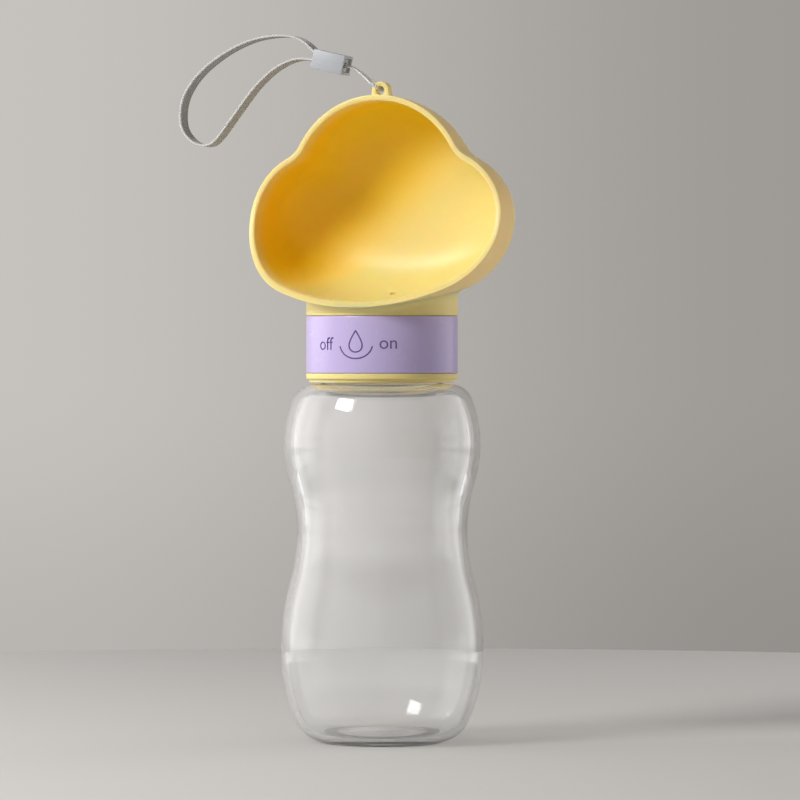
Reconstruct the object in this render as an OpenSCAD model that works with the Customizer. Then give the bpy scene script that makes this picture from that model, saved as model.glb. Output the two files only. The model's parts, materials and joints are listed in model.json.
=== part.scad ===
// Dog travel water bottle: hourglass bottle, turning on-off ring and a
// three-lobed drinking scoop above it, with a woven wrist strap.
// Millimetres, +Z up, base of the bottle on z = 0, its axis on x = y = 0.
// The mouth of the scoop looks to -Y.

/* [Node] */
// which piece to build

/* [Bottle] */
// radius of the lower belly at its widest
belly_radius = 36.8; // [33:0.1:45]
// height of the lower belly's widest place
belly_height = 32.7; // [26:0.1:40]
// radius of the side's curve below the belly
base_arc = 62; // [50:0.5:80]
// rounding between side and floor
base_corner = 13; // [6:0.5:16]
// radius of the grip waist
waist_radius = 30.9; // [25:0.1:34]
// how far the waist lies below the upper belly
waist_drop = 32; // [26:0.5:40]
// radius of the waist's hollow curve
waist_arc = 62; // [30:0.5:80]
// radius of the upper belly at its widest
upper_radius = 35.7; // [33:0.1:44]
// how far the upper belly lies below the shoulder
upper_drop = 22; // [18:0.5:28]
// height of the shoulder
shoulder_height = 130; // [115:0.5:160]
// rounding of the shoulder
shoulder_corner = 8.5; // [4:0.5:12]
// wall of the bottle
bottle_wall = 2.6; // [1.5:0.1:3.5]
// radius of the hollow under the base
punt_radius = 16; // [10:0.5:19]
// depth of the hollow under the base
punt_depth = 2.4; // [1:0.1:4]
// radius of the flat moulding gate in its middle
gate_radius = 3; // [1:0.5:5]
// radius of the neck at the root of its thread
neck_radius = 21.4; // [18:0.1:22]
// wall of the neck
neck_wall = 2.4; // [1.8:0.1:3]
// length of the neck above the shoulder
neck_length = 12; // [9:0.5:16]
// height of the bead that ends the thread
bead_height = 1.2; // [0.8:0.1:2]

/* [Screw cap] */
// outer radius of the cap's flange, the ring and the scoop's neck
head_radius = 27.5; // [26.5:0.1:30]
// radial depth of the shadow step under the flange
step_depth = 1; // [0.5:0.1:2]
// height of the shadow step
step_height = 1.3; // [1:0.1:2]
// height of the flange
flange_height = 2; // [1.5:0.1:4]
// bevel on the edges of the flange and of the scoop's neck
edge_bevel = 0.3; // [0.1:0.05:0.5]
// gap between shoulder and cap
cap_gap = 0.6; // [0.3:0.1:1]
// radial room that the thread takes
thread_depth = 1.6; // [1:0.1:2]
// thickness of the neck gasket
gasket_thickness = 1.6; // [1:0.1:2.5]
// thickness of the cap's deck
deck_thickness = 2.4; // [2:0.1:3.5]

/* [Switch ring] */
// height of the turning ring
ring_height = 20.6; // [16:0.1:26]
// wall of the turning ring
ring_wall = 2.1; // [1.8:0.1:2.6]
// radial running gap of the ring
running_gap = 0.08; // [0.02:0.01:0.1]
// gap above and below the ring
face_gap = 0.1; // [0.05:0.05:0.3]
// number of drive keys inside the ring
key_count = 4; // [3:1:8]
// width of a drive key
key_width = 5; // [3:0.5:8]
// how far a key reaches in
key_depth = 1.8; // [1:0.1:2.5]
// turn between the photographed place and on or off
switch_angle = 26; // [25:1:40]

/* [Valve] */
// thickness of the valve rotor
rotor_thickness = 3; // [2.4:0.1:4]
// gap above and below the rotor
rotor_gap = 0.2; // [0.1:0.05:0.4]
// radius of a water port
port_radius = 2.5; // [1.5:0.1:2.8]
// distance of the ports from the axis
port_pitch = 12; // [11.5:0.1:15]
// thickness of the upper seat plate
plate_thickness = 2.4; // [2:0.1:3.5]
// wall of the seat plate's collar
collar_wall = 2.5; // [2.2:0.1:3]
// how far the collar reaches into the scoop's neck
collar_reach = 2; // [1.2:0.1:2.4]
// radius of the centre post
post_radius = 4; // [3.5:0.1:5]
// depth of the post's seat in the deck
post_seat = 1.4; // [1:0.1:1.8]
// radius of the centre screw's shank
screw_radius = 1.5; // [1.2:0.1:2]
// radius of the screw's head
screw_head = 3.2; // [2.8:0.1:4]
// height of the screw's head
screw_head_height = 1.8; // [1.4:0.1:2.4]
// thickness of the screw's washer
washer_thickness = 0.6; // [0.4:0.1:1]
// section radius of the two large O-rings
o_ring = 0.7; // [0.5:0.05:0.8]
// gap between an O-ring and the ring that turns on it
o_gap = 0.1; // [0.05:0.01:0.15]
// radial width of the flat port seals
seal_width = 1.4; // [1:0.1:1.8]
// thickness of the flat port seals
seal_thickness = 1.3; // [1:0.1:1.6]

/* [Scoop] */
// half width of the scoop
scoop_half_width = 48.4; // [44:0.1:58]
// height of the neck below the scoop's lip
neck_rise = 2.8; // [2.6:0.1:5]
// height of the side lobes' widest place above the lip
side_rise = 31.9; // [30.5:0.1:38]
// radius of a side lobe above its widest place
side_upper = 25.5; // [22:0.1:28]
// radius of a side lobe below its widest place
side_lower = 28; // [24:0.1:29]
// height of the top lobe's centre above the lip
top_rise = 43.3; // [40:0.1:52]
// radius of the top lobe
top_lobe = 33.9; // [30:0.1:36]
// radius of the hollow between top and side lobes
hollow = 11; // [7:0.5:16]
// wall of the scoop
scoop_wall = 2.1; // [1.6:0.1:2.6]
// rounding of the rim's two edges
rim_edge = 0.5; // [0.2:0.05:0.7]
// reach of the hollow curve between the neck and the scoop's underside
fillet_reach = 3; // [1:0.1:3]
// height of that hollow curve on the neck
fillet_height = 3.2; // [1:0.1:4]
// how far the rim stands before the axis at the top
rim_front = 6.2; // [4:0.1:9]
// how much further the lip juts at the bottom
lip_reach = 24.6; // [20:0.1:27]
// height of the rim's straight upper part above the lip
lip_start = 49.5; // [40:0.5:56]
// how the lip curves forward
lip_power = 2.3; // [1.6:0.1:3]
// depth of the back behind the axis, low down
back_low = 26; // [22:0.1:27]
// depth of the back behind the axis, at the top
back_top = 16; // [10:0.5:20]
// height of the back's middle above the lip
back_rise = 34.5; // [28:0.5:40]
// height above the lip where the neck starts to round into the back
back_neck = 8; // [3:0.5:12]
// rounding where the neck runs into the back
back_round = 12; // [8:0.5:18]
// radius of the outlet in the scoop's floor
outlet_radius = 1.4; // [0.8:0.05:1.8]
// wall of the spout tube
spout_wall = 1.2; // [0.9:0.1:1.6]
// outer radius of the strap eye
eye_radius = 3.25; // [2.8:0.05:4]
// radius of the strap eye's hole
eye_hole = 1.6; // [1.3:0.05:2]
// thickness of the strap eye
eye_thickness = 4; // [3:0.1:5]
// height of the eye's hole above the rim
eye_rise = 1.7; // [1.7:0.1:3]
// hollow curve at the foot of the eye
eye_foot = 1.2; // [0.5:0.1:1.5]

/* [Strap] */
// diameter of the thin cord
cord_diameter = 1.1; // [0.8:0.05:1.4]
// width of the woven band
band_width = 7; // [5:0.1:8]
// thickness of the woven band
band_thickness = 0.8; // [0.6:0.05:1]
// length of the clamp
clamp_length = 12.4; // [10:0.1:16]
// height of the clamp
clamp_height = 7.1; // [6:0.1:9]
// depth of the clamp
clamp_depth = 8.7; // [8.4:0.1:11]
// tilt of the clamp
clamp_tilt = 13; // [0:1:30]
// rounding of the clamp's long edges
clamp_corner = 0.6; // [0.3:0.1:1]
// radius of the clamp's pin
pin_radius = 0.7; // [0.5:0.05:0.9]

/* [Hidden] */
$fn = 96;

// bottle outline
upper_z = shoulder_height - upper_drop;
waist_z = upper_z - waist_drop;
low_in = belly_radius - waist_radius;
low_dz = waist_z - belly_height;
low_sum = (low_dz * low_dz + low_in * low_in) / (2 * low_in);
up_in = upper_radius - waist_radius;
up_sum = (waist_drop * waist_drop + up_in * up_in) / (2 * up_in);
waist_r = min(waist_arc, 0.6 * low_sum, 0.6 * up_sum);
belly_arc = low_sum - waist_r;
upper_arc = up_sum - waist_r;
waist_x = waist_radius + waist_r;
base_dz = belly_height - base_corner;
base_dx = sqrt(pow(base_arc - base_corner, 2) - base_dz * base_dz);
base_x = belly_radius - base_arc + base_dx;
shoulder_r = min(shoulder_corner, 0.3 * upper_arc);
top_dx = sqrt(pow(upper_arc - shoulder_r, 2) - pow(upper_drop - shoulder_r, 2));
shoulder_x = upper_radius - upper_arc + top_dx;
a_base = atan2(base_dz, base_dx);
a_belly = atan2(low_dz, low_sum - low_in);
a_upper = atan2(waist_drop, up_sum - up_in);
a_neck = atan2(upper_drop - shoulder_r, top_dx);
punt_arc = (punt_radius * punt_radius + punt_depth * punt_depth) / (2 * punt_depth);
neck_top = shoulder_height + neck_length;
neck_bore = neck_radius - neck_wall;

// head stack
cap_z = shoulder_height + cap_gap;
flange_z = cap_z + step_height;
ring_z = flange_z + flange_height + face_gap;
ring_top = ring_z + ring_height;
scoop_z = ring_top + face_gap;
ring_bore = head_radius - ring_wall;
barrel_radius = ring_bore - running_gap;
cap_bore = neck_radius + thread_depth;
deck_z = neck_top + gasket_thickness;
deck_top = deck_z + deck_thickness;
rotor_z = deck_top + rotor_gap;
rotor_top = rotor_z + rotor_thickness;
rotor_radius = ring_bore - 0.8;
plate_z = rotor_top + rotor_gap;
plate_top = plate_z + plate_thickness;
collar_top = scoop_z + collar_reach;
post_end = deck_top - post_seat + 0.8;
screw_top = plate_top + 0.6;
groove = 2 * o_ring + 0.05;
ring_centre = ring_bore - o_gap - o_ring;
tube_radius = port_radius + spout_wall;
spout_z = plate_top + 1.2;

// scoop outline
lip_z = scoop_z + neck_rise;
side_z = lip_z + side_rise;
top_z = lip_z + top_rise;
crown_z = top_z + top_lobe;
back_z = lip_z + back_rise;
low_k = side_rise;
low_x = scoop_half_width - side_lower;
floor_arc = (low_x * low_x + low_k * low_k - side_lower * side_lower)
  / (2 * (low_k - side_lower));
side_c = [scoop_half_width - side_upper, side_z];
low_c = [low_x, side_z];
top_c = [0, top_z];
floor_c = [0, lip_z + floor_arc];
hd = norm(side_c - top_c);
ha = (pow(top_lobe + hollow, 2) - pow(side_upper + hollow, 2) + hd * hd) / (2 * hd);
hh = sqrt(pow(top_lobe + hollow, 2) - ha * ha);
hu = (side_c - top_c) / hd;
hollow_c = top_c + ha * hu + hh * [-hu[1], hu[0]];
a_top = atan2(hollow_c[1] - top_c[1], hollow_c[0] - top_c[0]);
a_side = atan2(hollow_c[1] - side_c[1], hollow_c[0] - side_c[0]);
a_low = atan2(low_c[1] - floor_c[1], low_c[0] - floor_c[0]);

// strap
eye_z = crown_z + eye_rise;
clamp_x = -19.5;
clamp_z = 10.6;
band_run = [
  [-21.5, 12.7], [-25.2, 14.5], [-29.3, 18.1], [-34.5, 20.2], [-42, 20.5],
  [-51.5, 18.7], [-62, 13.8], [-71.5, 6.4], [-77, -2.2], [-77.6, -11.6],
  [-73.5, -17.4], [-68, -19], [-63.5, -16.6], [-56, -7.2], [-48.5, 2],
  [-41, 8.4], [-33.5, 11.7], [-27, 11.7], [-21.5, 10.2]
];
cord_run = [
  [-16.9, 0.8, 10], [-13.4, 0.8, 9.2], [-9.6, 1.3, 7.4], [-5.8, 2.2, 4.6],
  [-2.6, 2.85, 2.2], [-0.9, 2.6, 0.8], [-0.5, 1.4, 0.4], [-0.5, 0, 0.35]
];

// ---- outlines -----------------------------------------------------------

function arc_points(c, r, from, to, n) =
  [for (i = [0:n - 1]) c + r * [cos(from + (to - from) * i / n),
                                sin(from + (to - from) * i / n)]];

// right half of the scoop's rim from crown to lip, t inside the outer line
function half_rim(t) = concat(
  arc_points(top_c, top_lobe - t, 90, a_top, 10),
  arc_points(hollow_c, hollow + t, a_top + 180, a_side + 180, 5),
  arc_points(side_c, side_upper - t, a_side, 0, 8),
  arc_points(low_c, side_lower - t, 0, a_low, 8),
  arc_points(floor_c, floor_arc - t, a_low, -90, 7),
  [[0, lip_z + t]]
);

function whole_rim(t) = let (h = half_rim(t), n = len(h))
  concat(h, [for (i = [n - 2:-1:1]) [-h[i][0], h[i][1]]]);

function rim_y(z) = -rim_front
  - lip_reach * pow(max(0, (lip_z + lip_start - z) / lip_start), lip_power);

function back_y(z, t) = let (f = max(0, (z - side_z) / (crown_z - side_z)))
  back_low - (back_low - back_top) * f * f - t;

// one layer of the scoop: a = 0 at the rim, 90 at the middle of the back
function layer(t, a) = let (s = sqrt(cos(a)), g = sqrt(sin(a)))
  [for (p = whole_rim(t)) let (z = back_z + (p[1] - back_z) * s)
    [p[0] * s, rim_y(p[1]) + (back_y(z, t) - rim_y(p[1])) * g, z]];

function strip(a, b, n) = [for (i = [0:n - 1]) let (j = (i + 1) % n)
  each [[a + i, a + j, b + j], [a + i, b + j, b + i]]];

function fan(a, tip, n) = [for (i = [0:n - 1]) [a + i, a + (i + 1) % n, tip]];

// ruled lid over a mirrored ring of n points that starts at its crown
function lid(n) = concat(
  [[0, n - 1, 1]],
  [for (i = [1:n / 2 - 2]) each [[i, n - i, n - i - 1], [i, n - i - 1, i + 1]]],
  [[n / 2 - 1, n / 2 + 1, n / 2]]
);

function flip(f) = [for (t = f) [t[2], t[1], t[0]]];

steps = 12;

// closed body within the scoop's surface at depth t; before > 0 adds a
// straight piece in front of the rim
module scoop_body(t, before) {
  rim = layer(t, 0);
  n = len(rim);
  front = [for (p = rim) [p[0], p[1] - before, p[2]]];
  first = before > 0 ? front : rim;
  count = steps + (before > 0 ? 1 : 0);
  points = concat(
    first,
    before > 0 ? rim : [],
    [for (k = [1:steps - 1]) each layer(t, 90 * k / steps)],
    [[0, back_y(back_z, t), back_z]]
  );
  faces = concat(
    flip(lid(n)),
    [for (k = [0:count - 2]) each strip(k * n, (k + 1) * n, n)],
    fan((count - 1) * n, count * n, n)
  );
  polyhedron(points, flip(faces), convexity = 6);
}

// the rim's line at depth t, set back by y
function rim_line(t, y) = [for (p = layer(t, 0)) p + [0, y, 0]];

// the scoop's open shell in one piece, its rim rounded by e
module scoop_shell(t, e) {
  n = len(whole_rim(0));
  half = steps * n + 1;
  soft = e * (1 - cos(45));
  points = concat(
    rim_line(0, e),
    [for (k = [1:steps - 1]) each layer(0, 90 * k / steps)],
    [[0, back_y(back_z, 0), back_z]],
    rim_line(t, e),
    [for (k = [1:steps - 1]) each layer(t, 90 * k / steps)],
    [[0, back_y(back_z, t), back_z]],
    rim_line(t - soft, soft),
    rim_line(t - e, 0),
    rim_line(e, 0),
    rim_line(soft, soft)
  );
  edge = concat(
    strip(half, 2 * half, n),
    [for (k = [0:2]) each strip(2 * half + k * n, 2 * half + (k + 1) * n, n)],
    strip(2 * half + 3 * n, 0, n)
  );
  outside = concat(
    [for (k = [0:steps - 2]) each strip(k * n, (k + 1) * n, n)],
    fan((steps - 1) * n, steps * n, n)
  );
  inside = [for (f = outside) [f[2] + half, f[1] + half, f[0] + half]];
  polyhedron(points, flip(concat(outside, inside, edge)), convexity = 8);
}

// height of the scoop's underside over a place near its floor, in m rounds
function under_z(x, y, s = 1, m = 4) = let (
    low = lip_z + floor_arc - sqrt(floor_arc * floor_arc - pow(x / s, 2)),
    g = min(0.98, max(0, (y - rim_y(low)) / (back_low - rim_y(low)))))
  m == 0 ? back_z + (low - back_z) * s : under_z(x, y, pow(1 - pow(g, 4), 0.25), m - 1);

// one section of the hollow curve round the neck, at an angle
function fillet_section(a, r) = let (
    dir = [cos(a), sin(a)],
    fade = min(1, max(0, (0.65 * r - r * dir[1]) / (0.45 * r))),
    w = fillet_reach * fade,
    joint = under_z(r * dir[0], r * dir[1]),
    rise = min(fillet_height, joint - scoop_z - 2 * edge_bevel),
    far = under_z((r + w) * dir[0], (r + w) * dir[1]),
    low = [r - 0.05, joint - rise],
    mid = [r - 0.05, joint],
    high = [r - 0.05 + w, far + 0.3],
    line = concat(
      [[r - 0.7, joint - rise]],
      [for (k = [0:5]) let (q = k / 5)
        low * (1 - q) * (1 - q) + mid * 2 * q * (1 - q) + high * q * q],
      [[r - 0.7, max(joint, far) + 0.8]]
    ))
  [for (p = line) [p[0] * dir[0], p[0] * dir[1], p[1]]];

module neck_fillet(r) {
  count = 60;
  n = len(fillet_section(0, r));
  points = [for (k = [0:count - 1]) each fillet_section(360 * k / count, r)];
  faces = [for (k = [0:count - 1]) each strip(k * n, (k + 1) % count * n, n)];
  polyhedron(points, faces, convexity = 6);
}

module ring2d(outer, inner) {
  difference() {
    circle(outer);
    circle(inner);
  }
}

module tube(outer, inner, z0, z1) {
  translate([0, 0, z0])
    linear_extrude(z1 - z0)
      ring2d(outer, inner);
}

module disc(r, z0, z1) {
  translate([0, 0, z0])
    cylinder(h = z1 - z0, r = r);
}

module bevelled_disc(r, z0, z1, c) {
  rotate_extrude()
    polygon([[0, z0], [r - c, z0], [r, z0 + c], [r, z1 - c], [r - c, z1], [0, z1]]);
}

module at_port(angle) {
  rotate([0, 0, angle])
    translate([port_pitch, 0, 0])
      children();
}

module band2d(z0, z1, r) {
  translate([0, z0])
    square([r, z1 - z0]);
}

// side of the bottle's body from floor to shoulder, t inside the outer line
function body_side(t) = concat(
  arc_points([base_x, base_corner], base_corner - t, -90, -a_base, 5),
  arc_points([belly_radius - base_arc, belly_height], base_arc - t, -a_base, 0, 3),
  arc_points([belly_radius - belly_arc, belly_height], belly_arc - t, 0, a_belly, 5),
  arc_points([waist_x, waist_z], waist_r + t, 180 + a_belly, 180 - a_upper, 8),
  arc_points([upper_radius - upper_arc, upper_z], upper_arc - t, -a_upper, a_neck, 7),
  arc_points([shoulder_x, shoulder_height - shoulder_r], shoulder_r - t, a_neck, 90, 4),
  [[shoulder_x, shoulder_height - t]]
);

// hollow under the base, t above its surface, flat at the moulding gate
module punt_form(t) {
  c = [0, punt_depth - punt_arc];
  r = punt_arc + t;
  side = arc_points(c, r, 90 - asin(gate_radius / r), 90 - asin((punt_radius + 3) / r), 6);
  polygon(concat([[0, -punt_depth], [0, side[0][1]]], side, [[side[5][0], -punt_depth]]));
}

module bottle_form(t) {
  polygon(concat([[0, t]], body_side(t), [[0, shoulder_height - t]]));
}

// ---- pieces -------------------------------------------------------------

module bottle() {
  color([0.86, 0.9, 0.92, 0.35])
    rotate_extrude() {
      difference() {
        union() {
          bottle_form(0);
          band2d(shoulder_height - 1, neck_top, neck_radius);
          translate([0, shoulder_height])
            square([neck_radius + thread_depth / 2, bead_height]);
        }
        difference() {
          bottle_form(bottle_wall);
          punt_form(bottle_wall);
        }
        band2d(shoulder_height - bottle_wall - 1, neck_top + 1, neck_bore);
        punt_form(0);
      }
    }
}

module neck_gasket() {
  color([0.93, 0.93, 0.9])
    tube(neck_radius, neck_bore, neck_top, deck_z);
}

module o_groove(z) {
  tube(barrel_radius + 1, barrel_radius - groove, z - o_ring - 0.05, z + o_ring + 0.05);
}

barrel_ring_z = (ring_z + deck_z) / 2;
collar_ring_z = (plate_top + scoop_z) / 2 - 0.2;

module screw_cap() {
  color([0.96, 0.79, 0.2])
    difference() {
      union() {
        disc(head_radius - step_depth, cap_z, flange_z);
        bevelled_disc(head_radius, flange_z, flange_z + flange_height, edge_bevel);
        disc(barrel_radius, flange_z, deck_top);
      }
      disc(cap_bore, cap_z - 1, deck_z);
      o_groove(barrel_ring_z);
      at_port(90)
        disc(port_radius, deck_z - 1, deck_top + 1);
      at_port(90)
        disc(port_radius + seal_width, rotor_z - 0.05 - seal_thickness, deck_top + 1);
      disc(post_radius + 0.1, deck_top - post_seat, deck_top + 1);
      disc(screw_radius + 0.1, deck_z - 1, deck_top + 1);
    }
}

module lower_port_seal() {
  color([0.2, 0.2, 0.22])
    at_port(90)
      tube(port_radius + seal_width, port_radius,
        rotor_z - 0.05 - seal_thickness, rotor_z - 0.05);
}

module post_seal() {
  color([0.2, 0.2, 0.22])
    tube(post_radius, screw_radius + 0.05, deck_top - post_seat, post_end);
}

module screw_washer() {
  color([0.75, 0.75, 0.77])
    tube(screw_head + 0.9, screw_radius + 0.1, deck_z - washer_thickness, deck_z);
}

module centre_screw() {
  head_z = deck_z - washer_thickness - screw_head_height;
  color([0.78, 0.78, 0.8])
    difference() {
      union() {
        disc(screw_head, head_z, deck_z - washer_thickness);
        disc(screw_radius, head_z, screw_top - 0.5);
      }
      for (a = [0, 90])
        rotate([0, 0, a])
          translate([-2, -0.4, head_z - 1])
            cube([4, 0.8, 1.9]);
    }
}

module barrel_o_ring() {
  color([0.2, 0.2, 0.22])
    rotate_extrude()
      translate([ring_centre, barrel_ring_z])
        circle(o_ring);
}

module collar_o_ring() {
  color([0.2, 0.2, 0.22])
    rotate_extrude()
      translate([ring_centre, collar_ring_z])
        circle(o_ring);
}

module key_sectors(inner, outer, width, z0, z1) {
  for (i = [0:key_count - 1])
    rotate([0, 0, 360 * (i + 0.5) / key_count])
      translate([inner, -width / 2, z0])
        cube([outer - inner, width, z1 - z0]);
}

module switch_ring() {
  color([0.72, 0.62, 0.83])
    difference() {
      union() {
        tube(head_radius, ring_bore, ring_z, ring_top);
        intersection() {
          key_sectors(ring_bore - key_depth, head_radius - 0.5, key_width,
            rotor_z, rotor_top);
          disc(head_radius - 0.5, ring_z, ring_top);
        }
      }
      translate([0, 0, ring_z])
        rotate_extrude()
          translate([head_radius, 0])
            rotate(45)
              square(0.6, center = true);
      translate([0, 0, ring_top])
        rotate_extrude()
          translate([head_radius, 0])
            rotate(45)
              square(0.6, center = true);
    }
}

module valve_rotor() {
  color([0.95, 0.95, 0.93])
    difference() {
      disc(rotor_radius, rotor_z, rotor_top);
      disc(post_radius + running_gap, rotor_z - 1, rotor_top + 1);
      key_sectors(ring_bore - key_depth - 0.1, head_radius, key_width + 0.2,
        rotor_z - 1, rotor_top + 1);
      at_port(90 + switch_angle)
        disc(port_radius, rotor_z - 1, rotor_top + 1);
    }
}

module upper_port_seal() {
  color([0.2, 0.2, 0.22])
    at_port(90)
      tube(port_radius + seal_width, port_radius,
        rotor_top + 0.05, rotor_top + 0.05 + seal_thickness);
}

module seat_plate() {
  color([0.95, 0.95, 0.93])
    difference() {
      union() {
        disc(barrel_radius, plate_z, plate_top);
        tube(barrel_radius, barrel_radius - collar_wall, plate_z, collar_top);
        disc(post_radius, post_end, screw_top);
      }
      o_groove(collar_ring_z);
      at_port(90)
        disc(port_radius, plate_z - 1, plate_top + 1);
      at_port(90)
        disc(port_radius + seal_width, plate_z - 1, rotor_top + 0.05 + seal_thickness);
      disc(screw_radius + 0.02, post_end - 1, screw_top - 0.4);
    }
}

module spout_seal() {
  color([0.2, 0.2, 0.22])
    at_port(90)
      tube(tube_radius, port_radius, plate_top, spout_z);
}

// outer form of the neck where it runs up into the back, its foot bevelled by c
module neck_form(r, z0, c = 0) {
  top = lip_z + back_neck;
  rotate_extrude() {
    polygon([[0, z0], [r - c, z0], [r, z0 + c], [r, top], [0, top]]);
    intersection() {
      translate([r - back_round, top])
        circle(back_round);
      translate([0, top])
        square([r, back_round]);
    }
    translate([0, top])
      square([r - back_round, back_round]);
  }
}

// foot of the eye, drawn with z upwards
module eye_foot2d() {
  side = concat(
    [[eye_radius + eye_foot, crown_z - scoop_wall * 0.6]],
    arc_points([eye_radius + eye_foot, crown_z + eye_foot], eye_foot, 270, 180, 5),
    [[eye_radius, crown_z + eye_foot], [eye_radius, eye_z]]
  );
  polygon(concat(side, [for (i = [len(side) - 1:-1:0]) [-side[i][0], side[i][1]]]));
}

module bowl() {
  color([0.97, 0.78, 0.16])
    difference() {
      union() {
        scoop_shell(scoop_wall, min(rim_edge, 0.4 * scoop_wall));
        difference() {
          union() {
            difference() {
              neck_form(head_radius, scoop_z, edge_bevel);
              neck_form(barrel_radius + 0.04, scoop_z - 1);
            }
            neck_fillet(head_radius);
            at_port(90)
              disc(tube_radius, spout_z, lip_z + 12);
          }
          scoop_body(scoop_wall / 2, 20);
        }
        translate([0, 0, eye_z])
          rotate([90, 0, 0])
            cylinder(h = eye_thickness, r = eye_radius, center = true);
        rotate([90, 0, 0])
          linear_extrude(eye_thickness, center = true)
            eye_foot2d();
      }
      translate([0, 0, eye_z])
        rotate([90, 0, 0])
          cylinder(h = eye_thickness + 2, r = eye_hole, center = true);
      at_port(90)
        disc(port_radius, spout_z - 1, lip_z + 1);
      at_port(90)
        disc(outlet_radius, spout_z - 1, lip_z + 12);
    }
}

// ---- strap --------------------------------------------------------------

function between(p, q, r, s, t) = 0.5 * (2 * q + (r - p) * t
  + (2 * p - 5 * q + 4 * r - s) * t * t + (3 * q - p - 3 * r + s) * t * t * t);

function smooth(p, m) = let (n = len(p)) concat(
  [for (i = [0:n - 2]) for (k = [0:m - 1])
    between(p[max(i - 1, 0)], p[i], p[i + 1], p[min(i + 2, n - 1)], k / m)],
  [p[n - 1]]
);

function heading(p, i) = let (d = p[min(i + 1, len(p) - 1)] - p[max(i - 1, 0)]) d / norm(d);

module strap_webbing() {
  run = smooth(band_run, 4);
  h = band_thickness / 2;
  one = [for (i = [0:len(run) - 1]) let (d = heading(run, i)) run[i] + h * [-d[1], d[0]]];
  two = [for (i = [len(run) - 1:-1:0]) let (d = heading(run, i)) run[i] - h * [-d[1], d[0]]];
  color([0.5, 0.49, 0.48])
    translate([0, 0, eye_z])
      rotate([90, 0, 0])
        translate([0, 0, -band_width / 2])
          linear_extrude(band_width)
            polygon(concat(one, two));
}

module strap_cord() {
  half = smooth(cord_run, 4);
  n = len(half);
  run = concat(half, [for (i = [n - 2:-1:0]) [half[i][0], -half[i][1], half[i][2]]]);
  m = len(run);
  sides = 8;
  points = [for (i = [0:m - 1]) let (
      d = heading(run, i),
      u = cross(d, [0.6, 0, -0.8]),
      e = u / norm(u),
      f = cross(d, e)
    ) for (k = [0:sides - 1])
      run[i] + cord_diameter / 2 * (cos(360 * k / sides) * e + sin(360 * k / sides) * f)];
  faces = concat(
    [[for (k = [sides - 1:-1:0]) k]],
    [for (i = [0:m - 2]) each strip(i * sides, (i + 1) * sides, sides)],
    [[for (k = [0:sides - 1]) (m - 1) * sides + k]]
  );
  color([0.88, 0.88, 0.86])
    translate([0, 0, eye_z])
      polyhedron(points, [for (f = faces) [for (j = [len(f) - 1:-1:0]) f[j]]], convexity = 6);
}

module at_clamp() {
  translate([clamp_x, 0, eye_z + clamp_z])
    rotate([0, clamp_tilt, 0])
      children();
}

module rounded(w, h, r) {
  square([w - 2 * r, h], center = true);
  square([w, h - 2 * r], center = true);
  for (x = [-1, 1])
    for (y = [-1, 1])
      translate([x * (w / 2 - r), y * (h / 2 - r)])
        circle(r, $fn = 24);
}

pocket_half = band_width / 2 + 0.15;
pocket_end = 1.8;

// side = -1 for the front half, 1 for the back half
module clamp_half(side) {
  at_clamp()
    difference() {
      intersection() {
        rotate([90, 0, 90])
          translate([0, 0, -clamp_length / 2])
            linear_extrude(clamp_length)
              rounded(clamp_depth, clamp_height, clamp_corner);
        translate([-clamp_length, side > 0 ? 0 : -clamp_depth, -clamp_height])
          cube([2 * clamp_length, clamp_depth, 2 * clamp_height]);
      }
      translate([-clamp_length / 2 - 1, -pocket_half, -3])
        cube([clamp_length / 2 + 1 + pocket_end, 2 * pocket_half, 6]);
      translate([pocket_end - 1, -cord_diameter - 0.5, -cord_diameter / 2 - 0.35])
        cube([clamp_length, 2 * cord_diameter + 1, cord_diameter + 0.7]);
      translate([pocket_end - 1.2, 0, 0])
        rotate([90, 0, 0])
          cylinder(h = 2 * pocket_half + 0.8, r = pin_radius + 0.02, center = true, $fn = 24);
    }
}

module strap_clamp_front() {
  color([0.74, 0.76, 0.78])
    clamp_half(-1);
}

module strap_clamp_back() {
  color([0.74, 0.76, 0.78])
    clamp_half(1);
}

module strap_clamp_pin() {
  color([0.7, 0.7, 0.72])
    at_clamp()
      translate([pocket_end - 1.2, 0, 0])
        rotate([90, 0, 0])
          cylinder(h = 2 * pocket_half + 0.7, r = pin_radius, center = true, $fn = 24);
}

bottle();
neck_gasket();
screw_cap();
lower_port_seal();
post_seal();
centre_screw();
screw_washer();
barrel_o_ring();
switch_ring();
valve_rotor();
upper_port_seal();
seat_plate();
collar_o_ring();
spout_seal();
bowl();
strap_cord();
strap_clamp_front();
strap_clamp_back();
strap_clamp_pin();
strap_webbing();
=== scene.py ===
# %% [markdown]
# # A travel water bottle for dogs
# The bottle is clear and shaped like an hourglass. A purple ring on its cap
# opens and shuts the water way, and a yellow scoop on top is the bowl.
# The measured model comes first, as a frame: every new piece is built around
# it in the same metres, so nothing has to be fitted by eye.

# %% Load the measured frame
import json
import math

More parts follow.
